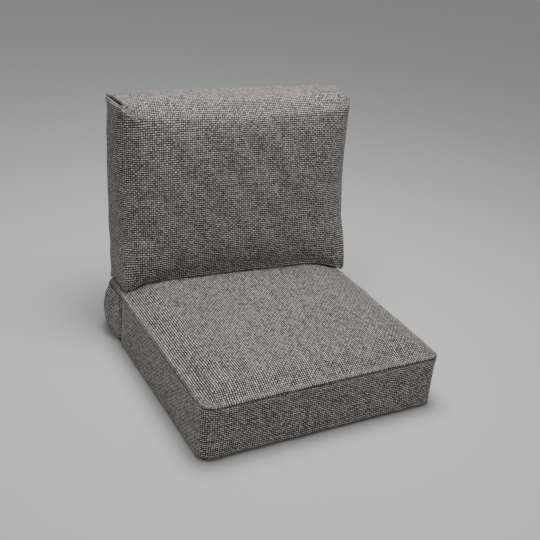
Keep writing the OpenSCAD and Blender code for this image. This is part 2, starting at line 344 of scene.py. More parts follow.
def new_mesh(name, points, faces, material):
    """A mesh object in the scene, with one material."""
    mesh = bpy.data.meshes.new(name)
    mesh.from_pydata(np.asarray(points).tolist(), [], np.asarray(faces).tolist())
    mesh.materials.append(material)
    mesh.polygons.foreach_set("use_smooth", [True] * len(mesh.polygons))
    made = bpy.data.objects.new(name, mesh)
    bpy.context.collection.objects.link(made)
    return made


# %% [markdown]
# ## Stuffing by cloth simulation
# Stuffing pushes a cover outward everywhere, and the cloth answers by bulging in the middle of each panel
# and pulling in its sides between the corners. Blender's cloth does exactly that when it is given pressure
# and no gravity. The simulation would go on to a balloon, and foam doesn't, so each point's movement is
# eased to a limit. The coarse movement is then carried to the fine lattice along smooth curves.

# %% Inflate a coarse skin
SIM_FRAMES = 20
SIM_PRESSURE = 4.0
FOAM_RESISTS = 0.8


def simulate(points, quads):
    """Where cloth under pressure moves each point of a closed skin."""
    skin = new_mesh("stuffing_trial", points, quads, cover_cloth)
    cloth = skin.modifiers.new("stuffing", "CLOTH")
    cloth.settings.quality = 6
    cloth.settings.mass = 0.35
    cloth.settings.tension_stiffness = 25
    cloth.settings.compression_stiffness = 12
    cloth.settings.shear_stiffness = 3
    cloth.settings.bending_stiffness = 0.4
    cloth.settings.use_pressure = True
    cloth.settings.uniform_pressure_force = SIM_PRESSURE
    cloth.settings.effector_weights.gravity = 0
    cloth.collision_settings.use_collision = False
    cloth.point_cache.frame_end = SIM_FRAMES
    for step in range(1, SIM_FRAMES + 1):
        bpy.context.scene.frame_set(step)
    ready = skin.evaluated_get(bpy.context.evaluated_depsgraph_get())
    moved = np.empty(len(points) * 3, np.float32)
    ready.data.vertices.foreach_get("co", moved)
    mesh = skin.data
    bpy.data.objects.remove(skin)
    bpy.data.meshes.remove(mesh)
    bpy.context.scene.frame_set(1)
    return moved.reshape(-1, 3) - points


def eased(push, normals, limit):
    """Movement kept below a limit, without a sudden stop, and mostly outward, because foam resists."""
    inward = np.minimum((push * normals).sum(1, keepdims=True), 0)
    push = push - FOAM_RESISTS * inward * normals
    far = np.linalg.norm(push, axis=1, keepdims=True)
    limit = np.broadcast_to(limit, (len(push),))[:, None]
    return push * np.tanh(far / limit) * limit / np.maximum(far, 1e-9)


def curve_weights(places, fine):
    """Weights that carry values at even places to finer places on a smooth curve."""
    t = fine / places[-1] * (len(places) - 1)
    i = np.clip(t.astype(int), 0, len(places) - 2)
    f = t - i
    shape = [-f / 2 + f**2 - f**3 / 2, 1 - 2.5 * f**2 + 1.5 * f**3,
             f / 2 + 2 * f**2 - 1.5 * f**3, -f**2 / 2 + f**3 / 2]
    table = np.zeros((len(fine), len(places)))
    for k, w in enumerate(shape):
        np.add.at(table, (np.arange(len(fine)), np.clip(i + k - 1, 0, len(places) - 1)), w)
    return table


def carried(coarse, fine, values):
    """Values on a coarse lattice, carried to every point of a fine one."""
    out = np.zeros((len(fine.at), values.shape[1]))
    for side, (_, _, a, b) in SIDES.items():
        along = curve_weights(coarse.lines[a], fine.lines[a])
        over = curve_weights(coarse.lines[b], fine.lines[b])
        grid = np.einsum("ia,abk,jb->ijk", along, values[coarse.grid[side]], over, optimize=True)
        out[fine.grid[side]] = grid
    return out


def stuffed(size, shape, fine, limit, coarse_step=8 * MM):
    """Finished points of a skin: its sewn shape plus the eased push of its stuffing."""
    coarse = Lattice(*(even(length, coarse_step) for length in size))
    start = shape(coarse.at)
    push = simulate(start, coarse.quads)
    print("  stuffing moved points up to", round(float(np.linalg.norm(push, axis=1).max()) * 1000), "mm")
    push = eased(push, outward(start, coarse.quads), limit(coarse.at))
    return shape(fine.at) + carried(coarse, fine, push), (coarse, start + push)


# %% [markdown]
# ## Seams
# Two panels meet at a seam with their edges turned in. From outside it is a narrow, deep line with a low
# ridge on each side, where the turned-in edges lie under the cloth, and the cloth gathers slightly along
# it. These are small moves along the skin's normal, added after the stuffing. The same numbers give the
# rubbed and the shaded attributes that the cloth's material reads.

# %% Seam profile and gathers
SEAM_OFFSETS = np.array([0, 0.9, 1.9, 3.2, 5.0, 7.5]) * MM
DEEPEST = 10 * MM  # no fold reaches the filling


def seam(distance, depth=2.4 * MM, ridge=0.9 * MM, width=1.9 * MM):
    """(move along the normal, rubbed share, share of painted crease shade) at a distance from a seam."""
    fold = np.exp(-((distance / width) ** 2))
    # Painted shade: the share by which the cloth's colour is darkened, strongest in the seam's groove.
    shade = np.exp(-((distance / min(width, 3.2 * MM)) ** 2))
    bank = np.exp(-(((distance - 3 * width) / (1.7 * width)) ** 2))
    return -depth * fold + ridge * bank, bank, shade


def waves(seed, count, longest, shortest, points):
    """Smooth, repeatable unevenness from a few waves in chosen directions, about -1 to 1."""
    dice = np.random.default_rng(seed)
    total = np.zeros(len(points))
    for _ in range(count):
        direction = dice.normal(size=points.shape[1])
        direction /= np.linalg.norm(direction)
        length = dice.uniform(shortest, longest)
        total += np.sin(points @ direction * 2 * np.pi / length + dice.uniform(0, 2 * np.pi))
    return total / math.sqrt(count)


def near(value, place, reach):
    """1 at a place, falling smoothly to 0 beyond its reach."""
    return np.exp(-(((value - place) / reach) ** 2))


def rounded(points, low, high, radius, axes):
    """Points of a box with the edges between the given axes turned to a radius."""
    q = np.clip(points, low, high)
    n = (points - q) / radius
    out = n.copy()  # a cube's surface carried onto a ball's
    for a in axes:
        b, c = [k for k in range(3) if k != a]
        out[:, a] = n[:, a] * np.sqrt(np.clip(1 - n[:, b] ** 2 / 2 - n[:, c] ** 2 / 2
                                              + (n[:, b] * n[:, c]) ** 2 / 3, 0, 1))
    return q + out * radius


def rise_over(height, floor, soft):
    """Height that settles on a floor instead of passing through it."""
    clear = height - floor
    return floor + (clear + np.sqrt(clear**2 + soft**2)) / 2


# %% [markdown]
# ## The seat cushion's cover
# The cover is a top panel, a bottom panel and a boxing strip between them. Its upright corners are rounded
# because the strip turns them without a seam. The strip is joined a hand's width in front of each rear
# corner, where the rear half with the zip begins. The zip's own line is held flat, with a slot for the
# chain, so that the slider can run.

# %% Seat cover
SEAT_CORNER = 34 * MM
SEAT_LIFT = 5 * MM
SEAT_CROWN = 13 * MM
SEAM_DROP = 15.5 * MM
SHOULDER = 15 * MM
WRAP_BULGE = 15 * MM
JOIN_WIDTH = 7 * MM
PLEAT = 4.5 * MM
SHOULDER_REACH = 23 * MM
SEAM_PULL = 3.2 * MM
seat_size = (seat_w, seat_d, seat_h)
seat_zip_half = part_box("seat_zip_coil_lower")[1].x
seat_zip_z = (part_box("seat_zip_coil_lower")[0].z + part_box("seat_zip_coil_upper")[1].z) / 2
SLOT_HALF = (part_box("seat_zip_slider")[1].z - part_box("seat_zip_slider")[0].z) / 2 + 0.6 * MM
SLOT_DEEP = 5.2 * MM
join_y = seat_d - rear_wrap


def edge_reach(at, size, axes):
    """Distance to the nearest side of the box along the given axes."""
    return np.minimum.reduce([np.minimum(at[:, a], size[a] - at[:, a]) for a in axes])


def seat_shape(at):
    """The seat's box with rounded upright corners, drawn in at its seams so that both panels are domed."""
    p = at.copy()
    p[:, 2] = SEAT_LIFT + at[:, 2] * (seat_h - SEAM_DROP - SEAT_LIFT) / seat_h
    full = 1 - np.exp(-edge_reach(at, (seat_w, seat_d), (0, 1)) / SHOULDER_REACH)
    p[:, 2] += np.where(at[:, 2] > seat_h - 1e-6, SHOULDER * full, 0)
    p[:, 2] -= np.where(at[:, 2] < 1e-6, SEAT_LIFT * full, 0)
    low = np.array([SEAT_CORNER, SEAT_CORNER, -1])
    high = np.array([seat_w - SEAT_CORNER, seat_d - SEAT_CORNER, 1])
    p = rounded(p, low, high, SEAT_CORNER, (0, 1))
    return p - np.array([seat_w / 2, seat_d / 2, 0])


def seat_limit(at):
    """How far stuffing may push each point of the seat."""
    seam_reach = np.maximum(edge_reach(at, seat_size, (2,)), edge_reach(at, seat_size, (0, 1)))
    open_share = np.clip(seam_reach / (70 * MM), 0, 1) ** 0.8
    level = (at[:, 2] < 1e-6) | (at[:, 2] > seat_h - 1e-6)
    most = np.where(level, SEAT_CROWN, 7 * MM)
    return SEAM_PULL + (most - SEAM_PULL) * open_share


seat_fine = Lattice(
    cuts(seat_w, 4.4 * MM, (0, seat_w), SEAM_OFFSETS),
    cuts(seat_d, 4.4 * MM, (0, seat_d, join_y), SEAM_OFFSETS),
    cuts(seat_h, 4.4 * MM, (0, seat_h, seat_zip_z - SLOT_HALF, seat_zip_z + SLOT_HALF), SEAM_OFFSETS[:4]),
)
seat_points, (seat_coarse, seat_block) = stuffed(seat_size, seat_shape, seat_fine, seat_limit)


def zip_hold(at, size, half, height):
    """How firmly a zip holds each point of the rear face flat, and which points are in its slot."""
    along, over = np.abs(at[:, 0] - size[0] / 2), np.abs(at[:, 2] - height)
    on_rear = at[:, 1] > size[1] - 1e-6
    band = near(over, SLOT_HALF, 34 * MM) * (over > SLOT_HALF) + (over <= SLOT_HALF)
    held = np.where(on_rear, band * np.clip((half + 40 * MM - along) / (40 * MM), 0, 1), 0)
    return held, on_rear & (along < half) & (over < SLOT_HALF - 1e-6)


def hold_flat(at, points, size, half, height, plane):
    """Lay the rear face on a plane along the zip."""
    held, in_slot = zip_hold(at, size, half, height)
    points[:, 1] += held * (plane - points[:, 1])
    points[:, 2] += np.where(held > 0, held * (at[:, 2] - points[:, 2]), 0)
    return held, in_slot


seat_zip = (seat_size, seat_zip_half, seat_zip_z, seat_d / 2)
hold_flat(seat_coarse.at, seat_block, *seat_zip)
at = seat_fine.at
held, in_slot = hold_flat(at, seat_points, *seat_zip)


def seat_details(at, points):
    """Moves along the normal, and the rubbed shares and the shares of painted crease shade, for the seat's
    seams and gathers.
    """
    on_top, on_bottom = at[:, 2] > seat_h - 1e-6, at[:, 2] < 1e-6
    rim = edge_reach(at, seat_size, (0, 1))
    to_top = np.where(on_top, rim, np.where(on_bottom, 1, seat_h - at[:, 2]))
    to_bottom = np.where(on_bottom, rim, np.where(on_top, 1, at[:, 2]))
    strip = ~on_top & ~on_bottom
    on_flank = strip & ((at[:, 0] < 1e-6) | (at[:, 0] > seat_w - 1e-6))
    to_join = np.where(on_flank, np.abs(at[:, 1] - join_y), 1)
    lift, rub, crease = seam(to_top, depth=3.0 * MM, ridge=1.4 * MM)
    for distance, width in ((to_bottom, 1.9 * MM), (to_join, JOIN_WIDTH)):
        more = seam(distance, depth=1.15 * width, width=width)
        lift, rub, crease = lift + more[0], np.maximum(rub, more[1] * 0.7), np.maximum(crease, more[2])
    # The rear strip laps under the front one, with a soft pleat behind the join
    behind = np.where(on_flank, np.clip(at[:, 1] - join_y, 0, None), 0)
    lift -= PLEAT * np.exp(-behind / (14 * MM)) * (1 - np.exp(-((behind / (5 * MM)) ** 2)))
    # Behind the join the cover is fuller, round the rear corners and on to the zip
    round_corner = np.where(at[:, 1] > seat_d - 1e-6, np.minimum(at[:, 0], seat_w - at[:, 0]), 0)
    beyond = at[:, 1] - join_y + round_corner
    girth = np.sin(np.pi * np.clip(at[:, 2] / seat_h, 0, 1)) ** 0.7
    swollen = np.clip(beyond / (45 * MM), 0, 1) * np.clip((rear_wrap + 75 * MM - beyond) / (75 * MM), 0, 1)
    lift += np.where(strip & (at[:, 1] > join_y), WRAP_BULGE * girth * swollen, 0)
    # Seamed edge to edge beyond the zip's ends
    on_wrap = strip & ((at[:, 1] > join_y) & ((np.abs(at[:, 0] - seat_w / 2) > seat_zip_half)))
    more = seam(np.where(on_wrap, np.abs(at[:, 2] - seat_zip_z), 1), depth=1.3 * MM, ridge=0.5 * MM)
    lift, crease = lift + more[0], np.maximum(crease, more[2] * 0.7)
    # Gathers run away from the seams and fade
    reach = np.minimum(to_top, to_bottom)
    fade = np.exp(-reach / (26 * MM)) * (1 - np.exp(-reach / (4 * MM)))
    lift += 1.5 * MM * fade * waves(11, 9, 60 * MM, 26 * MM, points)
    lift += 1.4 * MM * waves(5, 7, 0.34, 0.13, points) * (1 - np.exp(-reach / (30 * MM)))
    # Puckers at the corners
    for x in (0, seat_w):
        for y in (0, seat_d):
            r = np.hypot(at[:, 0] - x, at[:, 1] - y)
            angle = np.arctan2(at[:, 1] - y, at[:, 0] - x)
            fan = 0.5 + 0.5 * np.cos(angle * 9 + x * 5 + y * 3)
            below = (1 - near(to_top, 0, 3 * MM)) * near(to_top, 0, 34 * MM)
            lift -= 2.6 * MM * fan * np.exp(-r / (24 * MM)) * below
    return np.maximum(lift, -DEEPEST), rub, crease


lift, rub, crease = seat_details(at, seat_points)
lift *= 1 - held
seat_points += outward(seat_points, seat_fine.quads) * lift[:, None]
seat_points[in_slot, 1] -= SLOT_DEEP
# Painted shade: the zip's slot is darkened fully, as if in shadow.
crease = np.maximum(crease, np.where(in_slot, 1.0, 0.0))
seat_points[:, 2] = rise_over(seat_points[:, 2], 0, 1.5 * MM) - 0.2 * MM
seat_points[:, 2] = np.maximum(seat_points[:, 2], 0.3 * MM)
print("seat skin:", len(seat_points), "points, crown at", round(float(seat_points[:, 2].max()), 4))

# %% [markdown]
# The cutting coordinates are measured with a tape along the finished skin, so the weave keeps its size over
# every curve. The strips round the sides are unrolled, so the dashes run level along them and turn the
# corners as one piece of cloth. Each panel starts at its own place on the bolt, so rows don't match across
# seams, as on most sewn goods.


# %% Cloth coordinates and the finished skin
def tape_measure(lattice, points):
    """A function that turns lattice places on a side into lengths along its finished skin."""
    tables = {}
    for side, (_, _, a, b) in SIDES.items():
        grid = points[lattice.grid[side]]
        for axis, lengthwise in ((a, grid), (b, grid.swapaxes(0, 1))):
            edge = lengthwise.shape[1] // 6
            steps = np.linalg.norm(np.diff(lengthwise[:, edge:-edge], axis=0), axis=2).mean(1)
            tables[side, axis] = np.concatenate([[0], np.cumsum(steps)])
    return lambda side, axis, places: np.interp(places, lattice.lines[axis], tables[side, axis])


def cut_from_bolt(lattice, unroll, name, points, rub, crease):
    """A cover made from a lattice skin, with its cutting coordinates and its worn places."""
    made = new_mesh(name, points, lattice.quads, cover_cloth)
    corners = lattice.at[lattice.quads.reshape(-1)]
    side = np.repeat(lattice.side_of, 4)
    centre = np.repeat(lattice.at[lattice.quads].mean(1), 4, axis=0)
    flat = unroll(corners, centre, side, tape_measure(lattice, points))
    layer = made.data.attributes.new("cloth", "FLOAT_VECTOR", "CORNER")
    layer.data.foreach_set("vector", flat.astype(np.float32).ravel())
    for key, values in (("rub", rub), ("crease", crease)):
        layer = made.data.attributes.new(key, "FLOAT", "POINT")
        layer.data.foreach_set("value", np.clip(values, 0, 1).astype(np.float32))
    return made


def unroll_seat(corner, centre, side, measure):
    x, y, z = corner.T
    wide, deep = measure("front", 0, seat_w), measure("right", 1, seat_d)
    girth = wide + deep + measure("rear", 0, seat_w)
    flat = np.zeros_like(corner)
    strips = {
        "front": measure("front", 0, x), "right": wide + measure("right", 1, y),
        "rear": girth - measure("rear", 0, x), "left": -measure("left", 1, y),
    }
    for name, along in strips.items():
        here = side == name
        flat[here] = np.stack([along[here], measure(name, 2, z[here]), np.ones(here.sum())], 1)
    for name, panel in (("top", 2), ("bottom", 3)):
        here = side == name
        flat[here, 0] = measure(name, 1, y[here]) + 0.0013 * panel
        flat[here, 1], flat[here, 2] = measure(name, 0, x[here]), panel
    behind = (centre[:, 1] > join_y) & (flat[:, 2] == 1)
    above = centre[:, 2] > seat_zip_z
    turned = behind & (side == "left")  # the rear strip carries on round this corner to its join
    flat[turned, 0] += girth + measure("left", 1, seat_d)
    flat[behind, 1] = measure("rear", 2, z[behind])
    flat[behind, 2] = np.where(above[behind], 4, 5)
    flat[behind, 1] += np.where(above[behind], 1.9 * MM, 3.1 * MM)
    return flat


seat_cover = cut_from_bolt(seat_fine, unroll_seat, "seat_cover", seat_points, rub, crease)
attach(seat_cover, "seat")
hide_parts("seat_top_panel", "seat_bottom_panel", "seat_front_boxing",
            "seat_rear_boxing_upper", "seat_rear_boxing_lower")
print("seat cover has", len(seat_cover.data.polygons), "faces")

# %% [markdown]
# ## The back cushion's cover
# One panel covers the front and turns back over the sides. At each corner the spare cloth is darted: a seam
# runs from the rear corner forward along the edge, and stops where the front begins, with a dimple. The
# rear face is a separate, softer panel. The cushion is worked out upright in its own axes and then set
# leaning on the seat, where its underside takes the seat's crown.

# %% Back cover
BACK_EDGE = 24 * MM
BACK_ROUND = 54 * MM
BACK_CROWN = 15 * MM
BACK_PULL = 5 * MM
REAR_BULGE = 17 * MM
TOP_ARCH = 12 * MM
SIDE_BOW = 11 * MM
CORNER_DROOP = 16 * MM
DROOP_REACH = 50 * MM
SQUARE_FOOT = 130 * MM
CORNER_EAR = 8 * MM
lean = math.asin(-back_y.z)
under_slope = math.tan(lean)
back_size = (back_w, back_t, back_h)
back_zip_low, back_zip_high = extent("back_zip_coil_lower", back_axes)
back_zip_half = (back_zip_high[0] - back_zip_low[0]) / 2
back_zip_z = (back_zip_low[2] + extent("back_zip_coil_upper", back_axes)[1][2]) / 2 - back_low[2]
DART_LENGTH = back_t - 6 * MM


def back_shape(at):
    """The back's box, its front edges rounded and its underside level once it leans."""
    p = at.copy()
    low = at[:, 1] * under_slope
    p[:, 2] = low + at[:, 2] * (back_h - low) / back_h
    # The front turns in a wide curve that tightens towards the darted corners
    away = np.hypot(edge_reach(at, back_size, (0,)), edge_reach(at, back_size, (2,)))
    radius = BACK_EDGE + (BACK_ROUND - BACK_EDGE) * (1 - np.exp(-away / (90 * MM)))[:, None]
    radius *= 0.25 + 0.75 * np.clip(at[:, 2:] / SQUARE_FOOT, 0, 1)  # its own weight squares it at the foot
    radius = radius * np.array([1, 1.75, 1])
    inner_high = np.array([back_w, 1, back_h]) - radius * np.array([1, 0, 1])
    turned = rounded(p, radius, inner_high, radius, (0, 1, 2))
    # Keep the rear outline nearly square, because its seam is pulled tight into the corners
    square_share = np.clip(at[:, 1] / back_t, 0, 1)[:, None] ** 1.5 * 0.8
    p = turned * (1 - square_share) + p * square_share
    # Stuffing bows the top and the sides out between the corners
    across, up = at[:, 0] / back_w, at[:, 2] / back_h
    p[:, 2] += TOP_ARCH * up**6 * (1 - np.exp(-edge_reach(at, back_size, (0,)) / (45 * MM)))
    ear = np.exp(-np.hypot(edge_reach(at, back_size, (0,)), edge_reach(at, back_size, (2,))) / (22 * MM))
    ear *= (at[:, 1] / back_t) ** 2 * CORNER_EAR
    p[:, 0] += ear * np.sign(across - 0.5)
    p[:, 2] += ear * np.sign(up - 0.5)
    droop = np.exp(-(edge_reach(at, back_size, (0,)) + at[:, 2]) / DROOP_REACH)
    p[:, 2] -= CORNER_DROOP * droop
    p[:, 0] += SIDE_BOW * (2 * across - 1) ** 3 * np.sin(np.pi * np.clip(up, 0, 1)) ** 0.6
    return p - np.array([back_w / 2, 0, 0])


def back_limit(at):
    rim = edge_reach(at, back_size, (0, 2))
    open_share = np.clip(rim / (90 * MM), 0, 1) ** 0.7
    front, rear = at[:, 1] < 1e-6, at[:, 1] > back_t - 1e-6
    most = np.where(front, BACK_CROWN, REAR_BULGE)
    side_share = np.clip(edge_reach(at, back_size, (1,)) / (40 * MM), 0, 1)
    face = BACK_PULL + (most - BACK_PULL) * open_share
    side = BACK_PULL + 5 * MM * side_share
    return np.where(front | rear, face, side)


back_fine = Lattice(
    cuts(back_w, 4.6 * MM, (0, back_w), SEAM_OFFSETS),
    cuts(back_t, 4.6 * MM, (back_t,), SEAM_OFFSETS),
    cuts(back_h, 4.6 * MM, (0, back_h, back_zip_z - SLOT_HALF, back_zip_z + SLOT_HALF), SEAM_OFFSETS),
)
back_points, (back_coarse, back_block) = stuffed(back_size, back_shape, back_fine, back_limit)
back_zip = (back_size, back_zip_half, back_zip_z, back_t)
hold_flat(back_coarse.at, back_block, *back_zip)
at = back_fine.at
held, in_slot = hold_flat(at, back_points, *back_zip)


def back_details(at, points):
    """Moves along the normal, and the rubbed shares and the shares of painted crease shade, for the back's
    seams, darts and folds.
    """
    on_rear = at[:, 1] > back_t - 1e-6
    on_front = at[:, 1] < 1e-6
    rim = edge_reach(at, back_size, (0, 2))
    to_rear = np.where(on_rear, rim, np.where(on_front, 1, back_t - at[:, 1]))
    lift, rub, crease = seam(to_rear, depth=3.0 * MM, ridge=1.1 * MM)
    # Darts run forward along the four corner edges
    to_side, to_level = edge_reach(at, back_size, (0,)), edge_reach(at, back_size, (2,))
    to_edge = np.where(on_rear, 1, np.maximum(to_side, to_level))
    to_edge = np.where(on_front, np.hypot(to_side, to_level), to_edge)
    dart = seam(to_edge, depth=6.0 * MM, ridge=2.0 * MM, width=2.2 * MM)
    forward = np.clip((at[:, 1] - (back_t - DART_LENGTH)) / (34 * MM), 0, 1)
    lift, rub = lift + dart[0] * forward, np.maximum(rub, dart[1] * 0.7 * forward)
    # Painted shade darkens the cloth along each dart.
    crease = np.maximum(crease, dart[2] * forward)
    # A dimple and a short fold where each dart ends on the front
    corner_way = np.where(on_front, np.abs(to_side - to_level * 1.15), 1)
    fold = near(corner_way, 0, 9 * MM) * np.exp(-np.hypot(to_side, to_level) / (46 * MM))
    lift -= 6.5 * MM * fold
    # Gathers along the rear seam scallop the outline, and broad folds cross the face
    fade = np.exp(-to_rear / (34 * MM)) * (1 - np.exp(-to_rear / (3 * MM)))
    lift += 1.7 * MM * fade * waves(23, 8, 70 * MM, 30 * MM, points)
    body = 1 - np.exp(-np.minimum(to_rear, 0.2) / (40 * MM))
    lift += 2.0 * MM * body * waves(41, 7, 0.42, 0.15, points)
    slant = points[:, 0] * 0.75 + points[:, 2] * 0.66
    ripple = 1.1 * MM * np.sin(slant * 2 * np.pi / 0.088 + 4 * points[:, 0])
    lift += np.where(on_front, ripple * (1 - np.exp(-rim / (30 * MM))), 0)
    return np.maximum(lift, -1.2 * DEEPEST), rub, crease


lift, rub, crease = back_details(at, back_points)
lift *= 1 - held
back_points += outward(back_points, back_fine.quads) * lift[:, None]
back_points[in_slot, 1] -= SLOT_DEEP
# Painted shade: the zip's slot is darkened fully, as if in shadow.
crease = np.maximum(crease, np.where(in_slot, 1.0, 0.0))


# %% [markdown]
# The leaned cushion would sink into the seat's crown, so its underside is settled on it: the seat's upper
# surface is read from its lattice, and every point of the back is kept a little above it.


# %% Set the back cushion on the seat
def seat_top_height(x, y):
    """Height of the seat cover's upper surface at a place."""
    grid = seat_fine.grid["top"]
    xs, ys = seat_fine.lines[0] - seat_w / 2, seat_fine.lines[1] - seat_d / 2
    heights = seat_points[grid, 2]
    i = np.clip(np.searchsorted(xs, x), 1, len(xs) - 1)
    j = np.clip(np.searchsorted(ys, y), 1, len(ys) - 1)
    return np.maximum.reduce([heights[i, j], heights[i - 1, j], heights[i, j - 1], heights[i - 1, j - 1]])


back_origin = np.array([(back_low[0] + back_high[0]) / 2, back_low[1], back_low[2]])
REST_GAP = 0.7 * MM


def set_on_seat(points, gap):
    """The back's own points, leaned and turned to their place and settled a gap above the seat."""
    placed = (points + back_origin) @ back_axes
    floor = seat_top_height(placed[:, 0], placed[:, 1]) + gap
    past = np.maximum(np.abs(placed[:, 0]) - seat_w / 2, 0) + np.maximum(placed[:, 1] - seat_d / 2, 0)
    floor -= np.minimum(past * 0.5, 6 * MM)
    placed[:, 2] = rise_over(placed[:, 2], floor, 2.5 * MM)
    return placed


back_placed = set_on_seat(back_points, REST_GAP)


def unroll_back(corner, centre, side, measure):
    x, y, z = corner.T
    wide, tall = measure("front", 0, back_w), measure("front", 2, back_h)
    flat = np.zeros_like(corner)
    level, upright = measure("front", 0, x), measure("front", 2, z)
    places = {
        "front": (level, upright),
        "left": (-measure("left", 1, y), measure("left", 2, z)),
        "right": (wide + measure("right", 1, y), measure("right", 2, z)),
        "top": (measure("top", 0, x), tall + measure("top", 1, y)),
        "bottom": (measure("bottom", 0, x), -measure("bottom", 1, y)),
        "rear": (0.0017 - measure("rear", 0, x), measure("rear", 2, z)),
    }
    for name, (along, up) in places.items():
        here = side == name
        flat[here, 0], flat[here, 1], flat[here, 2] = along[here], up[here], 6
    rear = side == "rear"
    flat[rear, 2] = np.where(centre[rear, 2] > back_zip_z, 7, 8)
    return flat


back_cover = cut_from_bolt(back_fine, unroll_back, "back_cover", back_placed, rub, crease)
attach(back_cover, "back")
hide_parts("back_front_panel", "back_rear_panel", "back_rear_strip")
print("back cover has", len(back_cover.data.polygons), "faces")

# %% [markdown]
# ## What is inside
# The seat holds a block of open-cell foam, wrapped in two cups of wadding that meet half-way up, so that
# the block's edges don't show through. The back holds loose fibre in its own thin lining, which keeps the
# fibre off the zip. None of it shows when the covers are shut, but each layer is a real piece with its own
# surface. Each is the stuffed block drawn in from every side, deeper than any fold of the cover.

# %% Foam, wadding, lining and fibre
def drawn_in(points, depth):
    """A block of points with every side moved in."""
    low, high = points.min(0), points.max(0)
    middle, half = (low + high) / 2, (high - low) / 2
    return middle + (points - middle) * (1 - depth / half)


def cup(outer, inner, quads):
    """Closed shell between two matching layers, over some of their quads."""
    edges = np.stack([quads, np.roll(quads, -1, axis=1)], -1).reshape(-1, 2)
    count = len(outer)
    forward = edges[:, 0] * count + edges[:, 1]
    rim = edges[~np.isin(forward, edges[:, 1] * count + edges[:, 0])]
    wall = np.stack([rim[:, 1], rim[:, 0], rim[:, 0] + count, rim[:, 1] + count], 1)
    faces = np.concatenate([quads, quads[:, ::-1] + count, wall])
    points = np.concatenate([outer, inner])
    used, faces = np.unique(faces, return_inverse=True)
    return points[used], faces.reshape(-1, 4)


def soft_filling(name, colour, second, scale, relief, cells=False):
    """Foam or fibre: a mottled surface, pitted for foam and streaky for fibre."""
    f = Finish(name, Roughness=0.95, Sheen_Weight=0.2, Specular_IOR_Level=0.15)
    place = f.add("TexCoord", output=3)
    if cells:
        fine = f.add("TexVoronoi", {"Vector": place, "Scale": scale})
    else:
        fine = f.noise(place, scale, detail=6.0, noise_type="RIDGED_MULTIFRACTAL")
    cloud = f.noise(place, 9.0, detail=3.0)
    f.colour(f.blend(f.math("MULTIPLY_ADD", fine, 0.35, f.math("MULTIPLY", cloud, 0.6)), colour, second))
    f.roughness(f.math("MULTIPLY_ADD", cloud, 0.1, 0.88))
    f.bump(fine, relief, 0.5)
    return f.material


foam = soft_filling("seat_foam", (0.78, 0.68, 0.42, 1), (0.66, 0.55, 0.30, 1), 700.0, 0.5 * MM, cells=True)
wadding = soft_filling("wadding", (0.80, 0.80, 0.79, 1), (0.66, 0.67, 0.68, 1), 140.0, 1.5 * MM)
fibre = soft_filling("fibre", (0.83, 0.83, 0.81, 1), (0.70, 0.71, 0.71, 1), 90.0, 3.0 * MM)
lining_cloth = soft_filling("lining", (0.74, 0.75, 0.76, 1), (0.62, 0.63, 0.65, 1), 420.0, 0.3 * MM)

COVER_GAP = 14 * MM
FOAM_DEPTH = 26 * MM
FIBRE_DEPTH = 21 * MM
seat_block[:, 2] = rise_over(seat_block[:, 2], 0, 1.5 * MM)
wrap_outer, wrap_inner = drawn_in(seat_block, COVER_GAP), drawn_in(seat_block, FOAM_DEPTH - 1 * MM)
height = wrap_outer[seat_coarse.quads, 2].mean(1)
middle = (wrap_outer[:, 2].min() + wrap_outer[:, 2].max()) / 2


def filling(name, points, quads, material, body, node, slot, fill):
    made = new_mesh(name, points, quads, material)
    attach(made, body)
    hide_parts(node)
    return made


filling("seat_foam", drawn_in(seat_block, FOAM_DEPTH), seat_coarse.quads, foam, "seat", "seat_foam_core",
        "foam", 1.0)
for name, here in (("upper", height > middle), ("lower", height <= middle)):
    shell = cup(wrap_outer, wrap_inner, seat_coarse.quads[here])
    filling("seat_wadding_" + name, *shell, wadding, "seat", "seat_wrap_" + name, "fibre", 0.6)
lining_points = set_on_seat(drawn_in(back_block, COVER_GAP), COVER_GAP)
fibre_points = set_on_seat(drawn_in(back_block, FIBRE_DEPTH), FIBRE_DEPTH)
filling("back_lining", lining_points, back_coarse.quads, lining_cloth, "back", "back_inner_cover",
        "lining", 0.75)
filling("back_fibre", fibre_points, back_coarse.quads, fibre, "back", "back_fibre_fill", "fibre", 0.7)
print("five inner layers; lining reaches", np.round(lining_points.max(0), 3))

# %% [markdown]
# ## Zips
# Both zips are nylon coil zips. The tapes, stops, sliders and pulls of the design already have their true
# shapes, so they only need finishes: ribbed tape, dull nylon and a dark plated metal that has worn bright on
# its edges and faces. Wear follows a pattern of fine scratches.

# %% Zip finishes
COIL_PITCH = 1.6 * MM


def tape_finish():
    f = Finish("zip_tape", Roughness=0.85, Sheen_Weight=0.15, Specular_IOR_Level=0.2)
    place = f.add("TexCoord", output=3)
    ribs = f.add("TexWave", {"Vector": place, "Scale": 260.0, "Distortion": 0.4}, output=1, wave_type="BANDS")
    cloud = f.noise(place, 60.0)
    shade = f.math("MULTIPLY_ADD", cloud, 0.4, 0.8)
    f.colour(f.multiply(f.blend(ribs, (0.035, 0.034, 0.034, 1), (0.085, 0.082, 0.08, 1)), shade))
    f.roughness(f.math("MULTIPLY_ADD", ribs, 0.1, 0.8))
    f.bump(ribs, 0.2 * MM, 0.6)
    return f.material


def nylon_finish():
    f = Finish("zip_nylon", Roughness=0.4)
    place = f.add("TexCoord", output=3)
    cloud = f.noise(place, 500.0, detail=3.0)
    # Painted highlight and shade: the coil is near black between its turns and grey on each turn.
    turns = f.add("TexWave", {"Vector": place, "Scale": 2 * math.pi / (20 * COIL_PITCH)}, output=1)
    f.colour(f.multiply(f.blend(turns, (0.012, 0.012, 0.012, 1), (0.10, 0.098, 0.095, 1)),
                        f.math("MULTIPLY_ADD", cloud, 0.5, 0.75)))
    f.roughness(f.math("MULTIPLY_ADD", cloud, 0.2, 0.3))
    f.bump(turns, 0.5 * MM, 0.9)
    return f.material


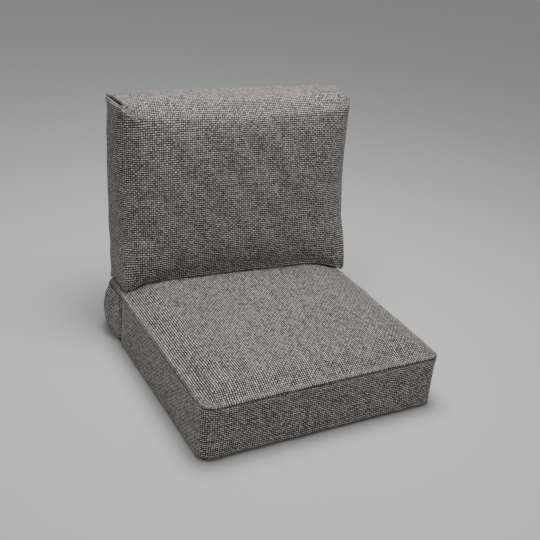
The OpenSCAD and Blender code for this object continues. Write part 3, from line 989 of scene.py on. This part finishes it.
def metal_finish():
    f = Finish("zip_metal", Metallic=1.0)
    place = f.add("TexCoord", output=3)
    stretch = f.add("VectorMath", {0: place, 1: (1.0, 1.0, 0.25)}, operation="MULTIPLY")
    scratch = f.noise(stretch, 900.0, detail=4.0)
    cloud = f.noise(place, 120.0, detail=3.0)
    worn = f.step(f.math("MULTIPLY_ADD", scratch, 0.5, f.math("MULTIPLY", cloud, 0.5)), 0.5, 0.66)
    f.colour(f.blend(worn, (0.16, 0.155, 0.15, 1), (0.50, 0.48, 0.45, 1)))
    f.roughness(f.math("MULTIPLY_ADD", scratch, 0.25, 0.22))
    f.bump(scratch, 0.04 * MM, 0.3)
    return f.material


finishes = {"zip_tape": tape_finish(), "zip_coil": nylon_finish(), "zip_metal": metal_finish()}
kinds = {"tape": "zip_tape", "coil": "zip_coil",
         "stop": "zip_metal", "slider": "zip_metal", "pull": "zip_metal"}
for name, node in frame["nodes"].items():
    for word, slot in kinds.items():
        if "zip_" + word in name or "zip_top_" + word in name or "zip_bottom_" + word in name:
            node.data.materials.clear()
            node.data.materials.append(finishes[slot])
print("zip parts finished:", sum("zip" in name for name in frame["nodes"]))

# %% [markdown]
# ## Stitches beside the zips
# The cover's folded edge is sewn to each tape with a straight row of lock stitches a few millimetres from
# the slot. A stitch is a short, fat loop of thread that dips into the cloth at both ends, so each one is a
# small arched bar. They could be painted on, but real ones catch the light.

# %% Stitch rows
STITCH_PITCH = 4.2 * MM
STITCH_LENGTH = 3.2 * MM
THREAD = 0.45 * MM
STITCH_INSET = 3.2 * MM


def thread_finish():
    f = Finish("sewing_thread", Roughness=0.6)
    place = f.add("TexCoord", output=3)
    strand = f.add("TexWave", {"Vector": place, "Scale": 900.0}, output=1, bands_direction="DIAGONAL")
    f.colour(f.blend(strand, (0.10, 0.098, 0.095, 1), (0.24, 0.235, 0.225, 1)))
    f.roughness(f.math("MULTIPLY_ADD", strand, 0.1, 0.55))
    f.bump(strand, 0.1 * MM, 0.5)
    return f.material


def stitch_row(half, height, plane):
    """Points and quads of arched bars along two lines beside a zip that lies across X on a plane."""
    bend = np.linspace(0, np.pi, 5)
    ring = np.array([(1, 0), (0, 1), (-1, 0), (0, -1)]) * THREAD
    points, quads = [], []
    for side in (-1, 1):
        z = height + side * (SLOT_HALF + STITCH_INSET)
        for middle in np.arange(-half, half, STITCH_PITCH):
            start = len(points)
            for t in bend:
                x, rise = middle - np.cos(t) * STITCH_LENGTH / 2, np.sin(t) * THREAD * 1.6 - THREAD
                points += [(x, plane + rise + b, z + a) for a, b in ring * (0.4 + 0.6 * np.sin(t))]
            for i in range(len(bend) - 1):
                a = start + 4 * i
                quads += [(a + k, a + (k + 1) % 4, a + 4 + (k + 1) % 4, a + 4 + k) for k in range(4)]
            last = start + 4 * (len(bend) - 1)
            quads += [(start + 3, start + 2, start + 1, start), (last, last + 1, last + 2, last + 3)]
    return np.array(points), quads


thread = thread_finish()
seat_row, quads = stitch_row(seat_zip_half - STITCH_PITCH, seat_zip_z, seat_d / 2)
back_row = (stitch_row(back_zip_half - STITCH_PITCH, back_zip_z, back_t)[0] + back_origin) @ back_axes
for name, points, body in (("seat_zip_stitches", seat_row, "seat"), ("back_zip_stitches", back_row, "back")):
    row = new_mesh(name, points, quads[:len(points) // 20 * 18], thread)
    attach(row, body)
print("stitches in the seat's rows:", len(seat_row) // 20)

# %% [markdown]
# ## A plain studio
# The floor and the light are plain and pale. A large soft light hangs above the middle of the set, so
# the tops are brightest and the back's face falls off towards the seat, and a pale sky fills in.

# %% Floor, light and sky
FLOOR_SIZE = 30.0


def matt(name, colour):
    f = Finish(name, Roughness=0.9, Specular_IOR_Level=0.1)
    spot = f.noise(f.add("TexCoord", output=3), 1.5)
    f.colour(f.multiply(colour, f.math("MULTIPLY_ADD", spot, 0.03, 0.985)))
    return f.material


floor_corners = [(x * FLOOR_SIZE / 2, y * FLOOR_SIZE / 2, 0) for x, y in ((-1, -1), (1, -1), (1, 1), (-1, 1))]
floor_finish = matt("studio_floor", (0.80, 0.80, 0.79, 1))
studio_floor = new_mesh("studio_floor", floor_corners, [(0, 1, 2, 3)], floor_finish)


def soft_light(name, place, look_at, size, power):
    light = bpy.data.lights.new(name, "AREA")
    light.size = size
    light.energy = power
    lamp = bpy.data.objects.new(name, light)
    bpy.context.collection.objects.link(lamp)
    lamp.location = place
    lamp.rotation_euler = (Vector(look_at) - Vector(place)).to_track_quat("-Z", "Y").to_euler()
    return lamp


LIGHT_SIZE = 0.9
LIGHT_POWER = 26.5
SKY_STRENGTH = 0.285
soft_light("key", (0.05, 0.06, 1.85), (0.0, 0.0, 0.1), LIGHT_SIZE, LIGHT_POWER)
world = bpy.data.worlds.new("sky")
bpy.context.scene.world = world
world.use_nodes = True
world.node_tree.nodes["Background"].inputs["Color"].default_value = (0.97, 0.98, 1.0, 1)
world.node_tree.nodes["Background"].inputs["Strength"].default_value = SKY_STRENGTH
